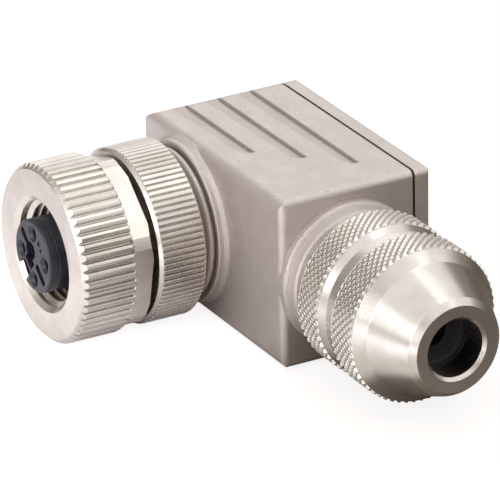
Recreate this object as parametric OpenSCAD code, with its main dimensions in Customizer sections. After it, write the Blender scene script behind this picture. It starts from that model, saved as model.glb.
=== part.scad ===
// Right-angled M12 cable connector, socket version, metal body.
//
// Frame: the origin is on the axis of the round socket, in the plane of the
// coupling nut's front face. The socket faces -Y, the cable leaves along +X,
// and Z is up. Millimetres.

/* [Coupling nut] */
// Outer diameter over the grip ribs
nut_d = 20.3; // [19.5:0.1:21]
// Length of the nut
nut_len = 8.95; // [8.5:0.05:9]
// Where the grip ribs end and the spanner band starts
rib_end = 6.5; // [6:0.1:7]
// Number of grip ribs
rib_count = 60; // [40:1:72]
// Depth of the grooves between the ribs
rib_depth = 0.4; // [0.3:0.05:0.6]
// Width across the flats of the spanner band
hex_af = 18.1; // [17.8:0.1:18.4]
// Diameter of the flat front face
nut_face_d = 19.1; // [18.4:0.1:19.4]
// Diameter of the mouth, at the front face
mouth_d = 13.2; // [12.8:0.1:13.6]
// Nominal diameter of the inside thread
thread_d = 12; // [11.9:0.1:12.1]

/* [Locking ring] */
// Outer diameter over the fine straight grips
ring_d = 20; // [19.4:0.1:20.2]
// Front face of the ring
ring_y = 9.57; // [9.5:0.01:9.6]
// Length of the ring
ring_len = 5.77; // [5.5:0.01:6]
// Number of fine grip teeth
ring_teeth = 90; // [72:1:100]
// Depth of the fine grips
ring_tooth_depth = 0.25; // [0.2:0.05:0.45]

/* [Insert] */
// Diameter of the plastic insert
insert_d = 8.3; // [8.2:0.05:8.4]
// How far the insert stands out of the nut
insert_out = 1; // [0.5:0.1:1.2]
// Radius of the circle that the contacts stand on
contact_r = 2.7; // [2.6:0.05:2.75]
// Number of contacts
contact_count = 4; // [4:1:4]
// Diameter of the hole that a pin enters
pin_hole_d = 1.1; // [1:0.05:1.2]

/* [Housing] */
// From the socket's axis to the closed end
end_x = 10.4; // [10.2:0.1:11]
// From the socket's axis to the cable face
face_x = 21.16; // [21:0.02:22]
// Height of the housing
body_h = 19.86; // [19.6:0.02:20]
// Plane of the housing's socket face
body_y = 18.25; // [18.2:0.01:18.4]
// Plane of the seam of the rear cover
seam_y = 34.68; // [34.5:0.01:35]
// Outer plane of the rear cover
cover_y = 36.85; // [36.6:0.01:37]
// Radius along the closed end's long edges
end_r = 3.4; // [2:0.1:4]
// Radius of the edges round the socket face
front_r = 1.2; // [0.6:0.1:1.6]
// Radius of the edges round the cable face
side_r = 0.8; // [0.4:0.1:1]
// Thickness of the seal under the rear cover
gasket_t = 0.32; // [0.25:0.01:0.4]

/* [Grip steps] */
// Number of sloping recesses on top
step_count = 3; // [3:1:3]
// Step edge of the first recess
step_y = 22.75; // [22.5:0.05:23]
// Distance from one step edge to the next
step_pitch = 4.15; // [4:0.05:4.3]
// Right end of the first recess
step_end_x = 7.7; // [7:0.1:8]
// Length of the slope up to a step
step_slope = 2.1; // [1.8:0.1:2.4]
// Depth of a step
step_depth = 0.45; // [0.3:0.05:0.6]

/* [Cable gland] */
// The gland's axis, behind the nut's front face
gland_y = 26.4; // [26.2:0.05:26.6]
// Outer diameter over the crossed grips
knurl_d = 18; // [17.6:0.1:18.2]
// Depth of the crossed grips
knurl_depth = 0.32; // [0.25:0.01:0.4]
// Diamonds round the nut
knurl_count = 60; // [48:1:64]
// Half steps of the diamond pattern along each band
knurl_rows = 10; // [8:2:12]
// End face of the clamp nut
nose_x = 44.3; // [44:0.1:45]
// Diameter of the cable opening
cable_bore_d = 6.6; // [6.4:0.1:6.7]
// Hole through the rubber seal
seal_hole_d = 3.7; // [3:0.1:4]

/* [Hidden] */

$fn = 96;
eps = 0.01;
nickel = "#d9d5cb";
cast_metal = "#c9c0bb";
dark_plastic = "#5a5a69";
pale_plastic = "#cfcfca";
rubber = "#2b2b2d";
brass = "#c8a458";

// Coupling nut and what it turns on
nut_r = nut_d / 2;
hex_turn = 18.3;                     // angle of one hexagon corner round the axis
mouth_chamfer = 0.5;
thread_r = thread_d / 2 + 0.05;
hex_end = 8.55;                      // rear end of the flats, before the bevel
lip_y = 7.25;                        // front of the lip that holds the nut on its sleeve
lip_r = 5.05;
tube_r = 4.9;                        // outside of the sleeve's thin tube
flange_r = 5.3;                      // front flange of the sleeve, smaller than the thread
flange_y = 5.6;
flange_end = 6.9;
washer_gap = 0.05;

// Locking ring and neck
ring_r = ring_d / 2;
ring_end = ring_y + ring_len;
ring_wall = 10.45;                   // inside face of the ring's front wall
stop_y = 10.75;                      // front of the sleeve's middle flange
stop_end = 12;
stop_r = 7.1;
neck_r = 7.55;                       // threaded neck of the housing
neck_clear = 0.1;
spigot_r = 5.9;                      // sleeve inside the neck
spigot_end = 19.9;
sleeve_bore_r = 4.5;

// Insert
insert_r = insert_d / 2;
insert_mid = 9;                      // where the front and rear insert meet
key_angle = 225;
slot_angles = [135, 315];
rear_end = 29;
contact_body_r = 0.8;
contact_tip = 1.2;                   // the contacts' front ends, below the face
terminal_y = 22.5;
terminal_end = 28;
terminal_w = 2.6;

// Housing
half_h = body_h / 2;
wall = 1.8;
cavity_y = 20.4;                     // inside of the socket-side wall
screw_spots = [[-7.2, 6.7], [-7.2, -6.7], [18, 6.9], [18, -6.9]];
boss_post_r = 2.2;
cover_in_y = seam_y + gasket_t;
cover_len = cover_y - cover_in_y;

// Gland
knurl_r = knurl_d / 2;
root_r = knurl_r - knurl_depth;
boss_r = 8.4;
boss_end = 23.6;
collar_r = 6.9;                      // collar inside the housing's boss
collar_bore_r = 4.6;
collar_start = 19.4;
collar_end = 31.4;
gland_thread_r = 7.45;
nut_rear_x = 25.45;
nut_thread_r = 7.55;
band_1 = [25.7, 29.94];
band_2 = [32.74, 37.23];
waist_r = 8.3;
cable_r = cable_bore_d / 2;
washer_x = 40.2;
washer_t = 0.5;
shoulder_x = 40.75;
seal_front = 40.15;
seal_r = 5;

// Points of an arc about [cx, cy], from angle a to angle b, in n steps
function arc(cx, cy, r, a, b, n) =
    [for (i = [0 : n]) let (t = a + (b - a) * i / n) [cx + r * cos(t), cy + r * sin(t)]];

// Rectangle with one radius at its left corners and another at its right corners
function soft_box(x0, y0, x1, y1, rl, rr, n = 8) = concat(
    arc(x0 + rl, y0 + rl, rl, 180, 270, n), arc(x1 - rr, y0 + rr, rr, 270, 360, n),
    arc(x1 - rr, y1 - rr, rr, 0, 90, n), arc(x0 + rl, y1 - rl, rl, 90, 180, n));

// Sets a shape drawn about Z along the socket's axis: Z becomes depth, Y becomes height
module on_socket(y = 0) {
    translate([0, y, 0]) mirror([0, 1, 0]) rotate([90, 0, 0]) children();
}

// Sets a shape drawn about Z along the gland's axis: Z becomes X, Y stays height
module on_gland(x = 0) {
    translate([x, gland_y, 0]) rotate([90, 0, 90]) children();
}

// Turned solid from a profile of [radius, place along the axis]
module turned(profile) {
    rotate_extrude($fn = 96) polygon(profile);
}

// Rubber ring with flats where it is squeezed
module o_ring(r, section, flat) {
    rotate_extrude($fn = 96) translate([r, 0]) intersection() {
        circle(d = section, $fn = 24);
        square(section - flat, center = true);
    }
}

// ---- Coupling nut ----

// Outline of the grip ribs: each rib is a low arch with a groove on both sides
module rib_outline() {
    pitch = 360 / rib_count;
    rib = [[-0.43, rib_depth], [-0.27, 0.08], [0, 0], [0.27, 0.08], [0.43, rib_depth]];
    polygon([for (i = [0 : rib_count - 1]) for (p = rib)
        let (a = (i + p[0]) * pitch, r = nut_r - p[1]) [r * cos(a), r * sin(a)]]);
}

module coupling_nut() {
    color(nickel) on_socket() difference() {
        union() {
            intersection() {
                linear_extrude(rib_end) rib_outline();
                turned([[0, -1], [nut_face_d / 2 - 0.9, -1], [nut_r + 0.08, 0.7],
                        [nut_r + 0.08, rib_end - 0.25], [nut_r - 0.32, rib_end + 0.15],
                        [nut_r - 0.32, rib_end + 1], [0, rib_end + 1]]);
            }
            intersection() {
                translate([0, 0, rib_end]) rotate(hex_turn) linear_extrude(nut_len - rib_end)
                    circle(d = hex_af / cos(30), $fn = 6);
                turned([[0, 0], [nut_r - 0.08, 0], [nut_r - 0.08, hex_end],
                        [nut_r - 0.65, nut_len], [0, nut_len]]);
            }
        }
        turned([[0, -2], [mouth_d / 2, -2], [mouth_d / 2, 0], [thread_r, mouth_chamfer],
                [thread_r, lip_y], [lip_r, lip_y], [lip_r, nut_len + 1], [0, nut_len + 1]]);
    }
}

// Slide washer between the sleeve's flange and the nut's lip
module nut_washer() {
    color(pale_plastic) on_socket() turned([[lip_r, flange_end], [thread_r - 0.2, flange_end],
        [thread_r - 0.2, lip_y], [lip_r, lip_y]]);
}

// ---- Locking ring ----

module ring_outline() {
    pitch = 360 / ring_teeth;
    tooth = [[-0.45, ring_tooth_depth], [-0.26, 0], [0.26, 0], [0.45, ring_tooth_depth]];
    polygon([for (i = [0 : ring_teeth - 1]) for (p = tooth)
        let (a = (i + p[0]) * pitch, r = ring_r - p[1]) [r * cos(a), r * sin(a)]]);
}

module locking_ring() {
    rim_r = ring_r - ring_tooth_depth - 0.04;
    color(nickel) on_socket() difference() {
        union() {
            turned([[0, ring_y], [ring_r - 0.5, ring_y], [ring_r - 0.18, ring_y + 0.34],
                    [ring_r - 0.18, ring_y + 0.4], [rim_r, ring_y + 0.52],
                    [rim_r, ring_end - 0.15], [rim_r - 0.15, ring_end], [0, ring_end]]);
            intersection() {
                translate([0, 0, ring_y + 0.38]) linear_extrude(ring_len - 0.48) ring_outline();
                turned([[0, ring_y], [ring_r - 0.3, ring_y], [ring_r + 0.15, ring_y + 0.6],
                        [ring_r + 0.15, ring_end - 0.45], [ring_r - 0.3, ring_end], [0, ring_end]]);
            }
        }
        turned([[0, 0], [lip_r, 0], [lip_r, ring_wall], [stop_r + 0.25, ring_wall],
                [stop_r + 0.25, stop_end], [neck_r + neck_clear, stop_end],
                [neck_r + neck_clear, ring_end + 1], [0, ring_end + 1]]);
    }
}

module pressure_washer() {
    color(nickel) on_socket() turned([[lip_r, ring_wall], [stop_r - 0.2, ring_wall],
        [stop_r - 0.2, stop_y], [lip_r, stop_y]]);
}

// ---- Insert and contacts ----

function contact_angle(i) = 90 * i;

// Round cuts that hold the four contacts
module contact_cuts() {
    for (i = [0 : contact_count - 1]) rotate(contact_angle(i))
        translate([contact_r, 0, contact_tip]) cylinder(r = contact_body_r, h = 40);
}

// Funnels and narrow ways in the insert's face that lead the pins to the contacts
module pin_ways() {
    for (i = [0 : contact_count - 1]) rotate(contact_angle(i)) translate([contact_r, 0, 0]) {
        translate([0, 0, -insert_out - 1]) cylinder(r = 0.58, h = 4);
        translate([0, 0, -insert_out - eps]) cylinder(r1 = 0.98, r2 = 0.56, h = 0.42);
    }
}

module insert_front() {
    key_w = 2.2;
    color(dark_plastic) on_socket() difference() {
        turned([[0, -insert_out], [insert_r - 0.15, -insert_out], [insert_r, -insert_out + 0.15],
                [insert_r, 0.05], [insert_r - 0.08, 0.12], [insert_r, 0.19], [insert_r, 4.65],
                [sleeve_bore_r, 4.75], [sleeve_bore_r, insert_mid], [0, insert_mid]]);
        contact_cuts();
        pin_ways();
        // keyway, open at the rim and bridged by a thin bar near the face
        rotate(key_angle) difference() {
            translate([0.45, 0, -insert_out - 1]) linear_extrude(6.6) polygon([[0, -0.85], [1.6, -0.85],
                [1.9, -1.05], [5, -1.2], [5, 1.2], [1.9, 1.05], [1.6, 0.85], [0, 0.85]]);
            translate([1.75, -2, -insert_out]) cube([0.32, 4, 0.9]);
        }
        // two radial slots and the round opening in the middle
        for (a = slot_angles) rotate(a) translate([0, 0, -insert_out - 1]) {
            translate([1.1, -0.42, 0]) cube([2.1, 0.84, 4.4]);
            translate([3.2, 0, 0]) cylinder(d = 0.84, h = 4.4, $fn = 32);
        }
        rotate(135) translate([0.75, 0, -insert_out - 1]) cylinder(r = 1.05, h = 5.5);
        // locating hole and shallow mark
        rotate(36) translate([2.3, 0, -insert_out - 1]) cylinder(d = 0.5, h = 2.5, $fn = 4);
        rotate(54) translate([2.25, -0.25, -insert_out - 0.5]) cube([0.6, 0.5, 0.62]);
    }
}

module insert_rear() {
    color(pale_plastic) on_socket() difference() {
        turned([[0, insert_mid], [sleeve_bore_r, insert_mid], [sleeve_bore_r, cavity_y],
                [6.9, cavity_y], [6.9, cavity_y + 1.6], [6.3, cavity_y + 1.6], [6.3, rear_end], [0, rear_end]]);
        contact_cuts();
        for (i = [0 : contact_count - 1]) rotate(contact_angle(i))
            translate([1.5, -terminal_w / 2, terminal_y]) cube([6, terminal_w, rear_end]);
    }
}

// One socket contact: a tube that takes the pin, and a screw terminal at its back
module contact(i) {
    color(brass) on_socket() rotate(contact_angle(i)) difference() {
        union() {
            translate([contact_r, 0, contact_tip])
                cylinder(r = contact_body_r, h = terminal_y - contact_tip + eps);
            translate([1.5, -terminal_w / 2, terminal_y]) cube([4, terminal_w, terminal_end - terminal_y]);
        }
        translate([contact_r, 0, contact_tip - 1]) cylinder(d = pin_hole_d, h = 6);
        translate([contact_r, 0, terminal_end - 4]) cylinder(r = 0.9, h = 5);
        translate([3.3, 0, terminal_y + 3.2]) rotate([0, 90, 0]) cylinder(r = 0.7, h = 4);
    }
}

module contact_1() { contact(0); }
module contact_2() { contact(1); }
module contact_3() { contact(2); }
module contact_4() { contact(3); }

module terminal_screws() {
    color(nickel) on_socket() for (i = [0 : contact_count - 1]) rotate(contact_angle(i))
        translate([3.4, 0, terminal_y + 3.2]) rotate([0, 90, 0]) difference() {
            union() {
                cylinder(r = 0.7, h = 2.1);
                translate([0, 0, 2.1]) cylinder(r = 1.1, h = 0.7);
            }
            translate([-1.5, -0.15, 2.5]) cube([3, 0.3, 1]);
        }
}

// ---- Sleeve that carries the insert ----

module carrier_sleeve() {
    color(nickel) on_socket() turned([[sleeve_bore_r, flange_y], [flange_r, flange_y],
        [flange_r, flange_end], [tube_r, flange_end], [tube_r, stop_y], [stop_r, stop_y],
        [stop_r, stop_end], [spigot_r, stop_end], [spigot_r, spigot_end], [sleeve_bore_r, spigot_end]]);
}

module mating_seal() {
    color(rubber) on_socket(flange_y - 0.36) o_ring(sleeve_bore_r + 0.36, 0.8, 0.08);
}

module sleeve_seal() {
    color(rubber) on_socket(stop_end + 0.4) o_ring(spigot_r + 0.4, 0.9, 0.1);
}

// ---- Housing ----

// Outline of the housing seen along the socket's axis, pulled in by inset
module body_outline(inset = 0) {
    polygon(soft_box(-end_x + inset, -half_h + inset, face_x - inset, half_h - inset,
                     end_r - inset, side_r, 8));
}

// Block with soft edges: the outlines seen from three sides, crossed
module body_block() {
    intersection() {
        on_socket(body_y) linear_extrude(seam_y - body_y) body_outline();
        translate([-30, 0, 0]) rotate([90, 0, 90]) linear_extrude(80)
            polygon(soft_box(body_y, -half_h, seam_y + 5, half_h, front_r, 0.2, 6));
        translate([0, 0, -20]) linear_extrude(40) polygon(concat(
            arc(-end_x + front_r, body_y + front_r, front_r, 180, 270, 6),
            arc(face_x - side_r, body_y + side_r, side_r, 270, 360, 6),
            [[face_x, seam_y + 5], [-end_x, seam_y + 5]]));
    }
}

// One sloping recess: it deepens towards the rear and ends in a sharp step
module grip_step(i) {
    y = step_y + i * step_pitch;
    x = step_end_x + i * step_pitch;
    intersection() {
        translate([0, 0, half_h - 1]) linear_extrude(2) polygon(concat(
            [[-end_x - 1, y], [-end_x - 1, y - step_slope]],
            arc(x - 1.6, y, 1.6, -90, 0, 8)));
        translate([-20, 0, 0]) rotate([90, 0, 90]) linear_extrude(50) polygon([
            [y - step_slope, half_h], [y, half_h - step_depth], [y + 1, half_h - step_depth],
            [y + 1, half_h + 1], [y - step_slope, half_h + 1]]);
    }
}

// Room inside the housing, open to the rear, with a post left for each cover screw
module cavity() {
    difference() {
        on_socket(cavity_y) linear_extrude(seam_y - cavity_y + 1) polygon(soft_box(
            -end_x + wall, -half_h + wall, face_x - wall, half_h - wall, 2, 1, 6));
        for (p = screw_spots) translate([p[0], cavity_y - 1, p[1]]) rotate([-90, 0, 0])
            cylinder(r = boss_post_r, h = 30, $fn = 48);
    }
}

module angle_housing() {
    color(cast_metal) difference() {
        union() {
            body_block();
            // collar and threaded neck on the socket side
            on_socket() turned([[0, stop_end], [neck_r - 0.3, stop_end], [neck_r, stop_end + 0.3],
                [neck_r, 16.3], [8.4, 16.3], [8.6, 16.45], [8.6, 16.8], [8.2, 16.9], [8.2, 17.15],
                [9.05, 17.15], [9.2, 17.3], [9.2, 17.75], [9.7, body_y + 0.3], [0, body_y + 0.3]]);
            // round boss on the cable side
            on_gland() turned([[0, face_x - 1.5], [boss_r - 0.2, face_x - 1.5],
                [boss_r - 0.2, face_x], [boss_r, face_x], [boss_r, 21.9],
                [boss_r - 0.08, 22.1], [boss_r - 0.3, 22.28], [7.95, 22.35], [7.9, boss_end - 0.2],
                [7.7, boss_end], [0, boss_end]]);
        }
        cavity();
        for (i = [0 : step_count - 1]) grip_step(i);
        on_socket() turned([[0, 0], [spigot_r + 0.9, 0], [spigot_r + 0.9, stop_end + 0.8],
            [spigot_r, stop_end + 0.8], [spigot_r, cavity_y + 1], [0, cavity_y + 1]]);
        on_gland(face_x - 4) cylinder(r = collar_r, h = 10);
        for (p = screw_spots) translate([p[0], seam_y - 7, p[1]]) rotate([-90, 0, 0])
            cylinder(r = 0.95, h = 8, $fn = 32);
    }
}

module cover_gasket() {
    color(rubber) difference() {
        on_socket(seam_y) linear_extrude(gasket_t) body_outline(0.3);
        on_socket(seam_y - 1) linear_extrude(3) polygon(soft_box(
            -end_x + wall, -half_h + wall, face_x - wall, half_h - wall, 2, 1, 6));
        for (p = screw_spots) translate([p[0], seam_y - 1, p[1]]) rotate([-90, 0, 0])
            cylinder(r = 1.35, h = 3, $fn = 32);
    }
}

module housing_cover() {
    edge = 0.5;
    color(cast_metal) difference() {
        intersection() {
            on_socket(cover_in_y) linear_extrude(cover_len) body_outline();
            translate([-30, 0, 0]) rotate([90, 0, 90]) linear_extrude(80) polygon(concat(
                [[0, -half_h], [cover_y - edge, -half_h]],
                arc(cover_y - edge, -half_h + edge, edge, 270, 360, 5),
                arc(cover_y - edge, half_h - edge, edge, 0, 90, 5), [[0, half_h]]));
            translate([0, 0, -20]) linear_extrude(40) polygon(concat(
                [[-end_x, 0], [face_x, 0]], arc(face_x - edge, cover_y - edge, edge, 0, 90, 5),
                arc(-end_x + edge, cover_y - edge, edge, 90, 180, 5)));
        }
        for (p = screw_spots) translate([p[0], cover_in_y, p[1]]) rotate([-90, 0, 0]) {
            translate([0, 0, -1]) cylinder(r = 1.2, h = 5, $fn = 32);
            translate([0, 0, cover_len - 1.3]) cylinder(r1 = 1.2, r2 = 2.35, h = 1.15, $fn = 48);
            translate([0, 0, cover_len - 0.15]) cylinder(r = 2.35, h = 1, $fn = 48);
        }
    }
}

// Countersunk screws of the rear cover
module cover_screws() {
    color(nickel) for (p = screw_spots) translate([p[0], cover_in_y, p[1]]) rotate([-90, 0, 0])
        difference() {
            union() {
                translate([0, 0, -6.2]) cylinder(r = 0.95, h = 6.2 + cover_len - 1.2, $fn = 32);
                translate([0, 0, cover_len - 1.3]) cylinder(r1 = 1.2, r2 = 2.35, h = 1.15, $fn = 48);
            }
            for (a = [0, 90]) rotate(a) translate([-1.1, -0.2, cover_len - 0.8]) cube([2.2, 0.4, 1]);
        }
}

// ---- Cable gland ----

module gland_collar() {
    color(nickel) on_gland() turned([[collar_bore_r, collar_start], [collar_r, collar_start],
        [collar_r, boss_end], [7.7, boss_end], [7.7, 24.4], [7, 24.4], [7, 25.4],
        [gland_thread_r, 25.4], [gland_thread_r, collar_end - 0.4], [gland_thread_r - 0.4, collar_end],
        [collar_bore_r, collar_end]]);
}

module gland_seal_ring() {
    color(rubber) on_gland(24.9) o_ring(7.45, 1, 0.1);
}

// Split ring that presses on the cable's screen
module shield_spring() {
    color(brass) on_gland() difference() {
        turned([[4, 26.4], [collar_bore_r, 26.4], [collar_bore_r, 26.9], [4.3, 27.4], [4.3, 29.4],
                [collar_bore_r, 29.9], [collar_bore_r, 30.4], [4, 30.4]]);
        translate([0, -0.6, 26]) cube([6, 1.2, 5]);
    }
}

// Collet with eight fingers round the rubber seal
module clamping_cage() {
    color(pale_plastic) on_gland() difference() {
        turned([[seal_r, collar_end], [6.5, collar_end], [6.5, 36.6], [5.5, 39.2], [seal_r, 39.2]]);
        for (i = [0 : 3]) rotate(45 * i) translate([-8, -0.35, 33.2]) cube([16, 0.7, 8]);
    }
}

module cable_seal() {
    r = seal_hole_d / 2;
    color(rubber) on_gland() turned([[r, collar_end], [seal_r, collar_end],
        [seal_r, seal_front - 0.3], [seal_r - 0.3, seal_front], [3.2, seal_front],
        [2.9, seal_front - 0.1], [r + 0.25, 39.1], [r, 38.85]]);
}

module thrust_washer() {
    color(nickel) on_gland() turned([[cable_r + 0.2, washer_x], [5.2, washer_x],
        [5.2, washer_x + washer_t], [cable_r + 0.2, washer_x + washer_t]]);
}

// Band of crossed grips: rows of flat-topped diamonds, closed at both ends.
// Each diamond stands between four low corners, which it shares with its neighbours.
module knurl_band(from, to) {
    cols = knurl_count;
    rows = knurl_rows;
    half_turn = 180 / cols;
    half_step = (to - from) / rows;
    top_share = 0.52;
    // half width of a flat top, set so that every sloping side stays flat
    sag = root_r * (1 - cos(half_turn)) * (1 - top_share);
    top_w = top_share * knurl_depth / (knurl_depth + sag) * root_r * sin(half_turn);
    top_h = top_share * half_step;

    function at(turn, x, y, z) = [x * cos(turn) - y * sin(turn), x * sin(turn) + y * cos(turn), z];
    lows = [for (b = [0 : rows]) for (a = [0 : cols - 1])
        at(half_turn * (2 * a + b % 2), root_r, 0, from + b * half_step)];
    tops = [for (b = [1 : rows - 1]) for (a = [0 : cols - 1])
        let (turn = half_turn * (2 * a + 1 - b % 2), z = from + b * half_step)
        each [at(turn, knurl_r, -top_w, z), at(turn, knurl_r, 0, z + top_h),
              at(turn, knurl_r, top_w, z), at(turn, knurl_r, 0, z - top_h)]];

    function low(a, b) = b * cols + (a + cols) % cols;
    diamonds = [for (b = [1 : rows - 1]) for (a = [0 : cols - 1])
        let (t = len(lows) + 4 * ((b - 1) * cols + a), w = low(a - b % 2, b), e = low(a - b % 2 + 1, b),
             n = low(a, b + 1), s = low(a, b - 1))
        each [[t, t + 1, t + 2, t + 3], [w, n, t + 1, t], [n, e, t + 2, t + 1],
              [e, s, t + 3, t + 2], [s, w, t, t + 3]]];
    rims = [for (a = [0 : cols - 1]) each [[low(a, 0), low(a, 1), low(a + 1, 0)],
        [low(a, rows), low(a + 1, rows), low(a, rows - 1)]]];
    ends = [[for (a = [0 : cols - 1]) low(a, 0)], [for (a = [cols - 1 : -1 : 0]) low(a, rows)]];
    polyhedron(concat(lows, tops), concat(diamonds, rims, ends));
}

module clamp_nut() {
    rim_r = root_r + 0.05;
    color(nickel) on_gland() difference() {
        union() {
            turned([[0, nut_rear_x], [waist_r, nut_rear_x], [rim_r, band_1[0] + 0.1],
                [waist_r, band_1[0] + 0.5], [waist_r, band_1[1] - 0.5], [rim_r, band_1[1] - 0.08],
                [rim_r, band_1[1] + 0.02], [waist_r, 30.95], [waist_r, band_2[0] - 0.35],
                [rim_r, band_2[0] + 0.04], [rim_r, band_2[0] + 0.1], [waist_r, band_2[0] + 0.5],
                [waist_r, band_2[1] - 0.5], [rim_r, band_2[1] - 0.08], [rim_r, band_2[1] + 0.02],
                [7.66, 38.47], [5.63, 43.55], [4.97, nose_x], [0, nose_x]]);
            knurl_band(band_1[0], band_1[1]);
            knurl_band(band_2[0], band_2[1]);
        }
        turned([[0, 20], [nut_thread_r, 20], [nut_thread_r, 32], [6.7, 32.4], [6.7, 37], [5.4, washer_x],
            [5.4, shoulder_x], [cable_r, shoulder_x], [cable_r, nose_x - 0.37],
            [cable_r + 0.37, nose_x], [cable_r + 0.37, nose_x + 1], [0, nose_x + 1]]);
    }
}

coupling_nut();
nut_washer();
locking_ring();
pressure_washer();
insert_front();
insert_rear();
contact_1();
contact_2();
contact_3();
contact_4();
terminal_screws();
carrier_sleeve();
mating_seal();
sleeve_seal();
angle_housing();
housing_cover();
cover_gasket();
cover_screws();
gland_collar();
gland_seal_ring();
shield_spring();
clamping_cage();
cable_seal();
thrust_washer();
clamp_nut();
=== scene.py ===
"""Right-angled M12 cable connector: finishes, the nut's cut thread and a plain studio."""
import math

import bpy
from mathutils import Matrix, Vector


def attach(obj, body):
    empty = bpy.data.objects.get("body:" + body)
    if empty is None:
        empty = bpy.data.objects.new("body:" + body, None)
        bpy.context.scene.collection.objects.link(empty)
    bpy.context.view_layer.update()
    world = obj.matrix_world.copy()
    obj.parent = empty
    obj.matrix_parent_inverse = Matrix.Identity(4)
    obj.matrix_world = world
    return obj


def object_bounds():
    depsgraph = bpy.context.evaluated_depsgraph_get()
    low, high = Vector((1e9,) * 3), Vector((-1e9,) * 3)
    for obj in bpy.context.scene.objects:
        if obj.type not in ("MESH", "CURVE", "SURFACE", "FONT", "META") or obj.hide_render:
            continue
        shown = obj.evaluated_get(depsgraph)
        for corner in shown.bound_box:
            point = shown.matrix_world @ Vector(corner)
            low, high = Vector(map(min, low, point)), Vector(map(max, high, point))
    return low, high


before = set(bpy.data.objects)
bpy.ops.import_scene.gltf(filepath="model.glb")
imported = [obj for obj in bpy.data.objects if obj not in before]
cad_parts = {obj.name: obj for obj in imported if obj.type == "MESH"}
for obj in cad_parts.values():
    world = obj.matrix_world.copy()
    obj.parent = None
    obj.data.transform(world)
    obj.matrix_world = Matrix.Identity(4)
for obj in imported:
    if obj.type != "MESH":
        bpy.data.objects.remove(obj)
cad_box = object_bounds()

MM = 0.001
# The socket's axis is the Y axis, and the cable gland's lies along X at this Y.
GLAND_Y = 26.4 * MM


# ---- Making pieces by hand ----

def start_fresh():
    """Nothing selected and no piece active, so an operator only meets the new piece."""
    if bpy.context.object and bpy.context.object.mode != "OBJECT":
        bpy.ops.object.mode_set(mode="OBJECT")
    bpy.ops.object.select_all(action="DESELECT")


def thread_coil(name, corners, pitch, turns, start, body):
    """A cut thread on the socket's axis: a four-cornered ridge wound round it, its ends closed.

    corners holds the ridge's corners as (radius, place along the axis).
    """
    steps_in_a_turn = 72
    start_fresh()
    bpy.ops.mesh.primitive_plane_add(size=1)
    coil = bpy.context.object
    coil.name = name
    # A plane's corners come in rows, so its last two change places to go round.
    for vertex, (radius, along) in zip((0, 1, 3, 2), corners):
        coil.data.vertices[vertex].co = (radius, 0, along)
    bpy.ops.object.mode_set(mode="EDIT")
    bpy.ops.mesh.select_all(action="SELECT")
    bpy.ops.mesh.delete(type="ONLY_FACE")
    bpy.ops.object.mode_set(mode="OBJECT")
    winding = coil.modifiers.new("winding", "SCREW")
    winding.axis = "Z"
    winding.angle = 2 * math.pi * turns
    winding.screw_offset = pitch * turns
    winding.steps = winding.render_steps = int(steps_in_a_turn * turns)
    winding.use_smooth_shade = False
    bpy.ops.object.modifier_apply(modifier=winding.name)
    bpy.ops.object.mode_set(mode="EDIT")
    bpy.ops.mesh.select_all(action="SELECT")
    bpy.ops.mesh.remove_doubles(threshold=0.001 * MM)
    bpy.ops.mesh.select_all(action="DESELECT")
    bpy.ops.mesh.select_non_manifold()
    bpy.ops.mesh.edge_face_add()
    bpy.ops.mesh.select_all(action="SELECT")
    bpy.ops.mesh.normals_make_consistent(inside=False)
    bpy.ops.object.mode_set(mode="OBJECT")
    turn = Matrix.Rotation(math.radians(-90), 4, "X")
    place = Matrix.Translation(turn @ Vector((0, 0, start)))
    coil.data.transform(place @ turn)
    bpy.ops.object.shade_smooth_by_angle(angle=math.radians(25))
    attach(coil, body)
    return coil


# ---- Shader parts that more than one finish uses ----

def feed(tree, socket, value):
    """Link another node's output to a socket, or set the socket's own value."""
    if isinstance(value, bpy.types.NodeSocket):
        tree.links.new(value, socket)
    else:
        socket.default_value = value


def node(tree, kind, ins=None, **settings):
    """A shader node with its settings and its inputs, each a value or another node's output."""
    made = tree.nodes.new(kind)
    for key, value in settings.items():
        setattr(made, key, value)
    for key, value in (ins or {}).items():
        feed(tree, made.inputs[key], value)
    return made


def math_of(tree, operation, a, b=0.0, clamp=False):
    """The result of one sum, product or other operation."""
    made = node(tree, "ShaderNodeMath", {0: a, 1: b}, operation=operation, use_clamp=clamp)
    return made.outputs[0]


def remap(tree, value, low, high, to_low=0.0, to_high=1.0, smooth=True):
    """value moved from the span low..high to the span to_low..to_high, and held inside it."""
    made = node(tree, "ShaderNodeMapRange",
                {"Value": value, "From Min": low, "From Max": high,
                 "To Min": to_low, "To Max": to_high},
                interpolation_type="SMOOTHSTEP" if smooth else "LINEAR")
    return made.outputs["Result"]


def blend_colours(tree, factor, a, b):
    """Colour a where the factor is 0, b where it is 1."""
    made = node(tree, "ShaderNodeMix", {0: factor, 6: a, 7: b}, data_type="RGBA")
    return made.outputs[2]


def new_group(name, inputs, outputs):
    """An empty node group with named sockets, and its two end nodes."""
    tree = bpy.data.node_groups.new(name, "ShaderNodeTree")
    kinds = {"value": "NodeSocketFloat", "vector": "NodeSocketVector"}
    for label, kind in inputs:
        tree.interface.new_socket(label, in_out="INPUT", socket_type=kinds[kind])
    for label, kind in outputs:
        tree.interface.new_socket(label, in_out="OUTPUT", socket_type=kinds[kind])
    return tree, tree.nodes.new("NodeGroupInput").outputs, tree.nodes.new("NodeGroupOutput").inputs


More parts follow.
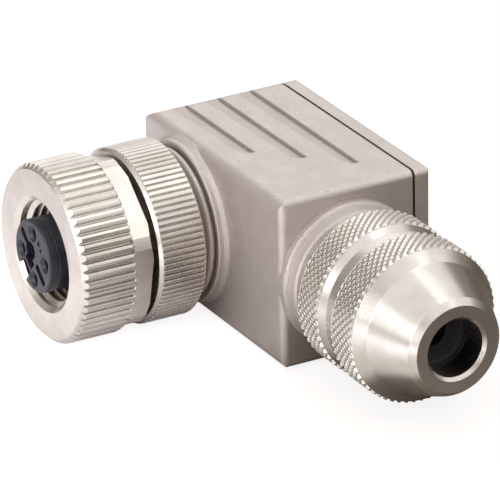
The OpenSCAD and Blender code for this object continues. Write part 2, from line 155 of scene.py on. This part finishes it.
def edge_wear_and_highlight_group():
    """Where an edge is: 1 on a sharp corner, and the rounded normal there."""
    # How far the rounded normal and the true one agree, where the wear and painted highlight start and
    # where they are full
    starts, full = 0.985, 0.80
    tree, given, out = new_group("edge wear and highlight", [("Width", "value")],
                                 [("Mask", "value"), ("Normal", "vector")])
    rounded = node(tree, "ShaderNodeBevel", {"Radius": given["Width"]}, samples=6)
    surface = node(tree, "ShaderNodeNewGeometry")
    same = node(tree, "ShaderNodeVectorMath",
                {0: rounded.outputs["Normal"], 1: surface.outputs["Normal"]}, operation="DOT_PRODUCT")
    tree.links.new(remap(tree, same.outputs["Value"], starts, full), out["Mask"])
    tree.links.new(rounded.outputs["Normal"], out["Normal"])
    return tree


def grain_group():
    """Blasted or cast grain: fine pits over broad, faint clouds, and a few raised specks."""
    # Clouds and specks are coarser than the pits, so they have this share of the pits' scale.
    cloud_share, speck_share = 0.045, 0.55
    tree, given, out = new_group("grain", [("Size", "value")],
                                 [("Fine", "value"), ("Broad", "value"), ("Specks", "value")])
    place = node(tree, "ShaderNodeTexCoord").outputs["Object"]
    per_metre = math_of(tree, "DIVIDE", 1.0, given["Size"])
    fine = node(tree, "ShaderNodeTexNoise",
                {"Vector": place, "Scale": per_metre, "Detail": 3.0, "Roughness": 0.6})
    broad = node(tree, "ShaderNodeTexNoise",
                 {"Vector": place, "Scale": math_of(tree, "MULTIPLY", per_metre, cloud_share),
                  "Detail": 4.0, "Roughness": 0.55})
    cells = node(tree, "ShaderNodeTexVoronoi",
                 {"Vector": place, "Scale": math_of(tree, "MULTIPLY", per_metre, speck_share)})
    # A speck is the middle of a cell, and only the cells with a high random colour have one.
    middle = remap(tree, cells.outputs["Distance"], 0.38, 0.16)
    chance = node(tree, "ShaderNodeSeparateColor", {0: cells.outputs["Color"]}).outputs[0]
    specks = math_of(tree, "MULTIPLY", middle, remap(tree, chance, 0.80, 0.90))
    tree.links.new(fine.outputs["Fac"], out["Fine"])
    tree.links.new(broad.outputs["Fac"], out["Broad"])
    tree.links.new(specks, out["Specks"])
    return tree


def lathe_group():
    """Lines that a lathe leaves: they change along the axis and outwards, hardly round it."""
    change_round_the_axis = 0.35
    tree, given, out = new_group("lathe lines", [("Centred", "vector"), ("Spacing", "value")],
                                 [("Lines", "value")])
    parts = node(tree, "ShaderNodeSeparateXYZ", {0: given["Centred"]}).outputs
    squared = math_of(tree, "ADD", math_of(tree, "MULTIPLY", parts["X"], parts["X"]),
                      math_of(tree, "MULTIPLY", parts["Y"], parts["Y"]))
    radius = math_of(tree, "SQRT", squared)
    around = math_of(tree, "ARCTAN2", parts["Y"], parts["X"])
    flat = node(tree, "ShaderNodeCombineXYZ",
                {"X": math_of(tree, "DIVIDE", radius, given["Spacing"]),
                 "Y": math_of(tree, "DIVIDE", parts["Z"], given["Spacing"]),
                 "Z": math_of(tree, "MULTIPLY", around, change_round_the_axis)})
    lines = node(tree, "ShaderNodeTexNoise",
                 {"Vector": flat.outputs[0], "Scale": 1.0, "Detail": 3.0, "Roughness": 0.6})
    tree.links.new(lines.outputs["Fac"], out["Lines"])
    return tree


def hollow_group():
    """Where a pit, a groove or a bore is: 1 deep inside it, 0 out in the open."""
    # How much of the surroundings is open, where the painted shade starts and where it is full
    starts, full = 0.80, 0.25
    tree, given, out = new_group("hollows", [("Reach", "value")], [("Mask", "value")])
    shade = node(tree, "ShaderNodeAmbientOcclusion", {"Distance": given["Reach"]}, samples=6)
    tree.links.new(remap(tree, shade.outputs["AO"], starts, full), out["Mask"])
    return tree


EDGE_WEAR_AND_HIGHLIGHT = edge_wear_and_highlight_group()
GRAIN = grain_group()
LATHE = lathe_group()
HOLLOWS = hollow_group()


def use_group(tree, group, **ins):
    """A shared group placed in a material with its own values."""
    made = tree.nodes.new("ShaderNodeGroup")
    made.node_tree = group
    for key, value in ins.items():
        feed(tree, made.inputs[key], value)
    return made.outputs


# ---- Finishes ----

def rgb(r, g, b):
    """A colour as it is seen on screen, 0 to 255, turned into light."""
    def light(c):
        c /= 255
        return c / 12.92 if c <= 0.04045 else ((c + 0.055) / 1.055) ** 2.4
    return (light(r), light(g), light(b), 1.0)


# Painted shade: the brown grey that pits, grooves and bores darken towards, where shade falls.
HOLLOW_SHADE_COLOUR = rgb(104, 92, 82)
# Worn edges and specks are lifted to this near-white: partly real wear, partly painted highlight and
# painted glints.
WORN_AND_HIGHLIT_NICKEL = rgb(250, 247, 242)
LINE_SPACING = 0.09 * MM
# How far a speck stands up, where the grain itself is 1 high
SPECK_RISE = 3.0
# What grain and clouds add to a metal's roughness, and what wear takes away
GRAIN_ROUGHER, CLOUDS_ROUGHER, WEAR_SMOOTHER = 0.08, 0.04, 0.12


def new_finish(name, **shader):
    """A material with a Principled shader whose plain settings are given here."""
    made = bpy.data.materials.new(name)
    made.use_nodes = True
    tree = made.node_tree
    principled = tree.nodes["Principled BSDF"]
    for key, value in shader.items():
        principled.inputs[key.replace("_", " ")].default_value = value
    return made, tree, principled


def raised(tree, height, distance, normal):
    """The normal of a surface that the height lifts by the distance, over the given normal."""
    made = node(tree, "ShaderNodeBump", {"Strength": 1.0, "Distance": distance,
                                         "Height": height, "Normal": normal})
    return made.outputs["Normal"]


def centred_place(tree, axis):
    """Object coordinates with the socket's axis, Y, or the gland's, X, turned and moved onto Z."""
    place = node(tree, "ShaderNodeTexCoord").outputs["Object"]
    if axis == "Y":
        turn, shift = (math.radians(90), 0, 0), (0, 0, 0)
    else:
        turn, shift = (0, math.radians(-90), 0), (0, -GLAND_Y, 0)
    made = node(tree, "ShaderNodeMapping",
                {"Vector": place, "Rotation": turn, "Location": shift}, vector_type="POINT")
    return made.outputs[0]


def plated_metal(name, bright, dull, roughness, grain_size, grain_height, axis=None,
                 line_height=0.0, hollow_shade=0.5, edge=0.08, reach=0.5, specks=0.0, metallic=1.0):
    """Nickel-plated metal: lathe lines or cast grain, hollows greyed with painted shade, worn edges
    lightened with painted highlight.

    Lengths are in millimetres. An axis gives the metal lathe lines round it.
    """
    made, tree, principled = new_finish(name, Metallic=metallic, Specular_IOR_Level=0.5)
    wear_and_highlight = use_group(tree, EDGE_WEAR_AND_HIGHLIGHT, Width=edge * MM)
    grain = use_group(tree, GRAIN, Size=grain_size * MM)
    hollow = use_group(tree, HOLLOWS, Reach=reach * MM)["Mask"]
    cloud = remap(tree, grain["Broad"], 0.25, 0.75)
    fine = remap(tree, grain["Fine"], 0.35, 0.65)
    worn_and_highlit = math_of(tree, "MULTIPLY", wear_and_highlight["Mask"], remap(tree, grain["Fine"], 0.2, 0.55, 0.4, 1.0))
    sparkle = math_of(tree, "MULTIPLY", grain["Specks"], specks)

    tone = blend_colours(tree, cloud, bright, dull)
    # Painted shade: the hollows darken towards a brown grey.
    shaded_tone = blend_colours(tree, math_of(tree, "MULTIPLY", hollow, hollow_shade), tone, HOLLOW_SHADE_COLOUR)
    # Painted highlight: worn edges and specks are lightened towards near-white; the edges are partly
    # real wear.
    highlit_wear_and_glints = math_of(tree, "MAXIMUM", worn_and_highlit, sparkle)
    colour = blend_colours(tree, highlit_wear_and_glints, shaded_tone, WORN_AND_HIGHLIT_NICKEL)
    tree.links.new(colour, principled.inputs["Base Color"])

    # Grain and clouds add about 0.05 on average, so that much comes off first.
    base = roughness - 0.05
    rough = math_of(tree, "ADD", base, math_of(tree, "MULTIPLY", fine, GRAIN_ROUGHER))
    rough = math_of(tree, "ADD", rough, math_of(tree, "MULTIPLY", cloud, CLOUDS_ROUGHER))
    rough = math_of(tree, "SUBTRACT", rough, math_of(tree, "MULTIPLY", worn_and_highlit, WEAR_SMOOTHER),
                    clamp=True)
    tree.links.new(rough, principled.inputs["Roughness"])

    height = math_of(tree, "ADD", grain["Fine"], math_of(tree, "MULTIPLY", sparkle, SPECK_RISE))
    normal = raised(tree, height, grain_height * MM, wear_and_highlight["Normal"])
    if axis:
        lines = use_group(tree, LATHE, Centred=centred_place(tree, axis), Spacing=LINE_SPACING)
        normal = raised(tree, lines["Lines"], line_height * MM, normal)
    tree.links.new(normal, principled.inputs["Normal"])
    return made


def moulded(name, colour, dark, roughness, grain_size, grain_height, hollow_shade=0.6, edge=0.06,
            reach=0.6):
    """Moulded plastic or rubber: satin skin, faint flow clouds, hollows darkened with painted shade.

    Lengths are in millimetres.
    """
    made, tree, principled = new_finish(name, Metallic=0.0, Specular_IOR_Level=0.5)
    wear_and_highlight = use_group(tree, EDGE_WEAR_AND_HIGHLIGHT, Width=edge * MM)
    grain = use_group(tree, GRAIN, Size=grain_size * MM)
    hollow = use_group(tree, HOLLOWS, Reach=reach * MM)["Mask"]
    cloud = remap(tree, grain["Broad"], 0.3, 0.7, 0.0, 0.35)
    tone = blend_colours(tree, cloud, colour, dark)
    # Painted shade: hollows darken towards the dark colour.
    deep = blend_colours(tree, math_of(tree, "MULTIPLY", hollow, hollow_shade), tone, dark)
    tree.links.new(deep, principled.inputs["Base Color"])
    rough = remap(tree, grain["Fine"], 0.3, 0.7, roughness - 0.06, roughness + 0.08)
    tree.links.new(rough, principled.inputs["Roughness"])
    normal = raised(tree, grain["Fine"], grain_height * MM, wear_and_highlight["Normal"])
    tree.links.new(normal, principled.inputs["Normal"])
    return made


socket_nickel = plated_metal(
    "turned nickel, socket side", rgb(228, 222, 214), rgb(216, 209, 200), roughness=0.27,
    grain_size=0.12, grain_height=0.003, axis="Y", line_height=0.002, hollow_shade=0.55)
gland_nickel = plated_metal(
    "turned nickel, gland side", rgb(228, 222, 215), rgb(216, 209, 201), roughness=0.22,
    grain_size=0.12, grain_height=0.006, axis="X", line_height=0.002, hollow_shade=0.25)
cast_nickel = plated_metal(
    "blasted cast body", rgb(218, 209, 204), rgb(209, 200, 194), roughness=0.48,
    grain_size=0.13, grain_height=0.045, hollow_shade=0.6, edge=0.06, specks=1.0, metallic=0.84)
screw_nickel = plated_metal(
    "screw nickel", rgb(220, 214, 203), rgb(205, 197, 186), roughness=0.28,
    grain_size=0.10, grain_height=0.002)
gold_flash = plated_metal(
    "gold flash", rgb(226, 190, 112), rgb(205, 166, 92), roughness=0.25,
    grain_size=0.10, grain_height=0.002)
insert_plastic = moulded(
    "insert plastic", rgb(54, 54, 64), rgb(10, 10, 13), roughness=0.38,
    grain_size=0.10, grain_height=0.004, hollow_shade=0.9)
carrier_plastic = moulded(
    "pale carrier plastic", rgb(214, 214, 210), rgb(150, 150, 147), roughness=0.45,
    grain_size=0.10, grain_height=0.004)
seal_rubber = moulded(
    "seal rubber", rgb(46, 46, 48), rgb(20, 20, 22), roughness=0.55,
    grain_size=0.12, grain_height=0.010)

COATED_PIECES = (
    (socket_nickel, ("coupling_nut", "locking_ring", "pressure_washer", "carrier_sleeve")),
    (gland_nickel, ("clamp_nut", "gland_collar", "thrust_washer")),
    (cast_nickel, ("angle_housing", "housing_cover")),
    (screw_nickel, ("cover_screws", "terminal_screws")),
    (gold_flash, ("shield_spring", "contact_1", "contact_2", "contact_3", "contact_4")),
    (insert_plastic, ("insert_front",)),
    (carrier_plastic, ("insert_rear", "nut_washer", "clamping_cage")),
    (seal_rubber, ("mating_seal", "sleeve_seal", "cover_gasket", "gland_seal_ring", "cable_seal")),
)


def coat(piece, finish):
    piece.data.materials.clear()
    piece.data.materials.append(finish)


for finish, names in COATED_PIECES:
    for name in names:
        coat(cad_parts[name], finish)


# ---- The coupling nut's cut thread ----

# Its first turn starts this far behind the nut's front face.
THREAD_START = 1.1 * MM
THREAD_PITCH = 1.0 * MM
THREAD_TURNS = 5.2
FOOT_R, FOOT_HALF_WIDTH = 6.12 * MM, 0.46 * MM
CREST_R, CREST_HALF_WIDTH = 5.5 * MM, 0.09 * MM

nut_thread = thread_coil(
    "nut_thread", [(FOOT_R, -FOOT_HALF_WIDTH), (CREST_R, -CREST_HALF_WIDTH),
                   (CREST_R, CREST_HALF_WIDTH), (FOOT_R, FOOT_HALF_WIDTH)],
    THREAD_PITCH, THREAD_TURNS, THREAD_START, "coupling_nut")
coat(nut_thread, socket_nickel)


# ---- Studio ----

AZIMUTH, ELEVATION, ROLL = math.radians(61.25), math.radians(24.35), math.radians(-1.03)
AIM = Vector((12.59, 19.13, 0.93)) * MM
DISTANCE = 646.13 * MM
LENS = 427.27

# back points from AIM to the camera, and right and up are the view's own
back = Vector((math.sin(AZIMUTH) * math.cos(ELEVATION),
               -math.cos(AZIMUTH) * math.cos(ELEVATION), math.sin(ELEVATION)))
level = Vector((math.cos(AZIMUTH), math.sin(AZIMUTH), 0))
upright = back.cross(level)
right = level * math.cos(ROLL) + upright * math.sin(ROLL)
up = upright * math.cos(ROLL) - level * math.sin(ROLL)

# Across the view, from the floor's middle to the right: where the floor turns grey, then dark, a
# painted shade that the metal mirrors
GREY_SPAN = (-14 * MM, 7 * MM)
DARK_SPAN = (8 * MM, 50 * MM)
PALE, GREY, DARK = (0.86, 0.83, 0.88, 1), (0.27, 0.235, 0.21, 1), (0.16, 0.14, 0.125, 1)
# The floor's bright strips, which only the metal mirrors: one on the left, across the view,
# which fades further out, and one in front of the gland, by X and Y from the floor's middle
LEFT_STRIP_SPAN, LEFT_STRIP_FADE = (-14 * MM, -28 * MM), (-62 * MM, -36 * MM, 0.1, 1.0)
FRONT_STRIP_X, FRONT_STRIP_Y = (12 * MM, 18 * MM), (0.0, -5 * MM)
LEFT_STRIP_GLOW, FRONT_STRIP_GLOW = 0.40, 0.55
# What the whole floor glows for the camera alone, so that it meets the white room behind it
FLOOR_GLOW = 0.85

# Where the room gets bright, by height: 0 is level and 1 is straight up
OVERHEAD_SPAN = (0.04, 0.36)
# Dim sides of the room: the side, how near to it the dimming starts and is full, where 1 is
# straight at it, and how much of the light it takes
DIM_SIDES = (
    ((-0.80, -0.50, 0.28), 0.68, 0.94, 0.78),
    ((-0.25, 0.93, 0.25), 0.82, 0.95, 0.92),
    (back, 0.84, 0.97, 0.75),
)
# The bright side in front of the socket, in the same terms, and the heights where it comes in
BRIGHT_SIDE = ((0.20, -0.95, 0.24), 0.78, 0.94)
BRIGHT_SIDE_SPAN = (0.0, 0.12)
UNLIT_STRENGTH, LIT_STRENGTH = 0.13, 1.05
UNLIT_TINT, LIT_TINT = (1.0, 0.88, 0.79, 1), (1.0, 0.99, 0.985, 1)


def add_camera():
    """A long lens at the front right, a little above the object."""
    start_fresh()
    bpy.ops.object.camera_add()
    camera = bpy.context.object
    camera.name = "studio_camera"
    camera.matrix_world = Matrix.Translation(AIM + back * DISTANCE) @ Matrix(
        (right, up, back)).transposed().to_4x4()
    camera.data.lens = LENS
    camera.data.sensor_width = 36
    camera.data.clip_start, camera.data.clip_end = 0.02, 20
    bpy.context.scene.camera = camera


def add_softbox(name, side, distance, size, power, warmth):
    """A square lamp that looks at the object from the given side.

    Warmth takes a little green and more blue out of its white.
    """
    start_fresh()
    direction = Vector(side).normalized()
    bpy.ops.object.light_add(type="AREA", location=AIM + direction * distance)
    lamp = bpy.context.object
    lamp.name = name
    lamp.rotation_euler = direction.to_track_quat("Z", "Y").to_euler()
    lamp.data.shape = "SQUARE"
    lamp.data.size = size
    lamp.data.energy = power
    lamp.data.color = (1.0, 1.0 - 0.04 * warmth, 1.0 - 0.09 * warmth)


def seen_and_mirrored(tree):
    """1 for the camera's own rays, and 1 for rays that a surface mirrors or lets through."""
    ray = node(tree, "ShaderNodeLightPath").outputs
    return ray["Is Camera Ray"], math_of(tree, "ADD", ray["Is Glossy Ray"], ray["Is Transmission Ray"])


def nearness(tree, direction, side, low, high):
    """1 where a direction points to the side, falling to 0 around it."""
    near = node(tree, "ShaderNodeVectorMath", {0: direction, 1: Vector(side).normalized()},
                operation="DOT_PRODUCT").outputs["Value"]
    return remap(tree, near, low, high)


def pale_floor():
    """The floor's material: pale on the left, grey on the right as painted shade, clear from below."""
    made = bpy.data.materials.new("pale floor")
    made.use_nodes = True
    tree = made.node_tree
    tree.nodes.clear()
    place = node(tree, "ShaderNodeTexCoord").outputs["Object"]
    across = node(tree, "ShaderNodeVectorMath", {0: place, 1: tuple(level)},
                  operation="DOT_PRODUCT").outputs["Value"]
    # Painted shade: the floor's colour falls to grey and dark towards the right.
    right_colour = blend_colours(tree, remap(tree, across, *DARK_SPAN), GREY, DARK)
    colour = blend_colours(tree, remap(tree, across, *GREY_SPAN), PALE, right_colour)
    matt = node(tree, "ShaderNodeBsdfDiffuse", {"Color": colour})

    spot = node(tree, "ShaderNodeSeparateXYZ", {0: place}).outputs
    left_strip = math_of(tree, "MULTIPLY", remap(tree, across, *LEFT_STRIP_SPAN),
                         remap(tree, across, *LEFT_STRIP_FADE))
    front_strip = math_of(tree, "MULTIPLY", remap(tree, spot["Y"], *FRONT_STRIP_Y),
                          remap(tree, spot["X"], *FRONT_STRIP_X))
    strips = math_of(tree, "ADD", math_of(tree, "MULTIPLY", left_strip, LEFT_STRIP_GLOW),
                     math_of(tree, "MULTIPLY", front_strip, FRONT_STRIP_GLOW))
    seen, mirrored = seen_and_mirrored(tree)
    strength = math_of(tree, "ADD", math_of(tree, "MULTIPLY", seen, FLOOR_GLOW),
                       math_of(tree, "MULTIPLY", mirrored, strips))
    glow = node(tree, "ShaderNodeEmission", {"Color": (1, 1, 1, 1), "Strength": strength})
    both = node(tree, "ShaderNodeAddShader", {0: matt.outputs[0], 1: glow.outputs[0]})

    clear = node(tree, "ShaderNodeBsdfTransparent")
    underside = node(tree, "ShaderNodeNewGeometry").outputs["Backfacing"]
    shown = node(tree, "ShaderNodeMixShader", {0: underside, 1: both.outputs[0], 2: clear.outputs[0]})
    end = node(tree, "ShaderNodeOutputMaterial")
    tree.links.new(shown.outputs[0], end.inputs["Surface"])
    return made


def add_floor():
    """A wide round floor, a hair under the object."""
    start_fresh()
    bpy.ops.mesh.primitive_circle_add(vertices=96, radius=1.5, fill_type="NGON",
                                      location=(AIM.x, AIM.y, cad_box[0].z - 0.02 * MM))
    floor = bpy.context.object
    floor.name = "studio_floor"
    floor.data.materials.append(pale_floor())


def light_room():
    """A room that is white behind the object, bright overhead and in front, and dim at three sides."""
    world = bpy.data.worlds.new("studio")
    bpy.context.scene.world = world
    world.use_nodes = True
    tree = world.node_tree
    tree.nodes.clear()
    direction = node(tree, "ShaderNodeTexCoord").outputs["Generated"]
    height = node(tree, "ShaderNodeSeparateXYZ", {0: direction}).outputs["Z"]
    overhead = remap(tree, height, *OVERHEAD_SPAN)
    dimmed = 1.0
    for side, low, high, depth in DIM_SIDES:
        shade = math_of(tree, "MULTIPLY", nearness(tree, direction, side, low, high), depth)
        dimmed = math_of(tree, "MULTIPLY", dimmed, math_of(tree, "SUBTRACT", 1.0, shade))
    card = math_of(tree, "MULTIPLY", nearness(tree, direction, *BRIGHT_SIDE),
                   remap(tree, height, *BRIGHT_SIDE_SPAN))
    lit = math_of(tree, "MAXIMUM", math_of(tree, "MULTIPLY", overhead, dimmed), card)
    strength = remap(tree, lit, 0.0, 1.0, UNLIT_STRENGTH, LIT_STRENGTH, smooth=False)
    tint = blend_colours(tree, lit, UNLIT_TINT, LIT_TINT)
    room = node(tree, "ShaderNodeBackground", {"Color": tint, "Strength": strength})
    white = node(tree, "ShaderNodeBackground", {"Color": (1, 1, 1, 1), "Strength": 1.0})
    seen, mirrored = seen_and_mirrored(tree)
    whiteness = math_of(tree, "ADD", seen, math_of(tree, "MULTIPLY", mirrored, lit), clamp=True)
    shown = node(tree, "ShaderNodeMixShader", {0: whiteness, 1: room.outputs[0], 2: white.outputs[0]})
    end = node(tree, "ShaderNodeOutputWorld")
    tree.links.new(shown.outputs[0], end.inputs["Surface"])


add_camera()
add_floor()
light_room()
add_softbox("key_lamp", side=(0.22, -0.92, 0.34), distance=0.50, size=0.24, power=0.60, warmth=0.0)
add_softbox("top_lamp", side=(0.1, 0.3, 1), distance=0.60, size=0.35, power=0.30, warmth=0.5)
add_softbox("back_lamp", side=(-0.85, 0.25, 0.50), distance=0.22, size=0.16, power=0.022, warmth=0.4)

bpy.context.scene.view_settings.view_transform = "Standard"
